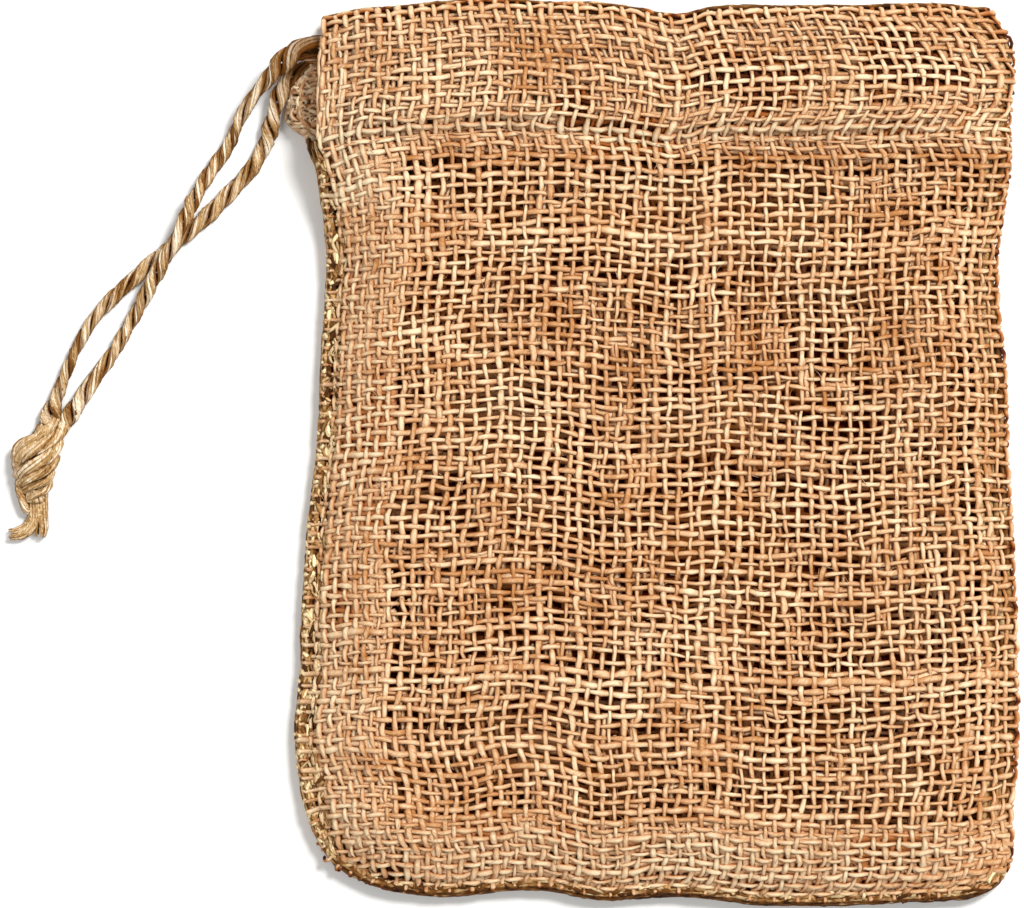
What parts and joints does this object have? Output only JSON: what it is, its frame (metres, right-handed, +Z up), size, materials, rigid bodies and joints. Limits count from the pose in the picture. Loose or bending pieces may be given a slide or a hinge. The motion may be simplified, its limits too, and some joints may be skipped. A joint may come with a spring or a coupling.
{
  "type": "burlap drawstring sack",
  "caption": "Small empty burlap sack lying flat, sewn at one side and the bottom, with a deep drawstring casing at its mouth and a knotted jute twine.",
  "frame": {"origin": "under the middle of the cloth's box, on the surface that the sack lies on; the drawstring's free strands, knot and tails are left out of it", "axes": "+Y towards the mouth, +X towards the folded side, +Z up, away from the surface"},
  "size_m": [0.1829, 0.1634, 0.015],
  "materials": {
    "burlap": "coarse open plain weave of dry jute yarn",
    "twine": "loosely twisted natural jute twine"
  },
  "bodies": {
    "root": {"sack_cloth": "burlap", "drawstring_held": "twine", "drawstring_upper": "twine", "drawstring_lower": "twine", "drawstring_knot": "twine", "tail_toe": "twine", "tail_heel": "twine"}
  },
  "joints": []
}
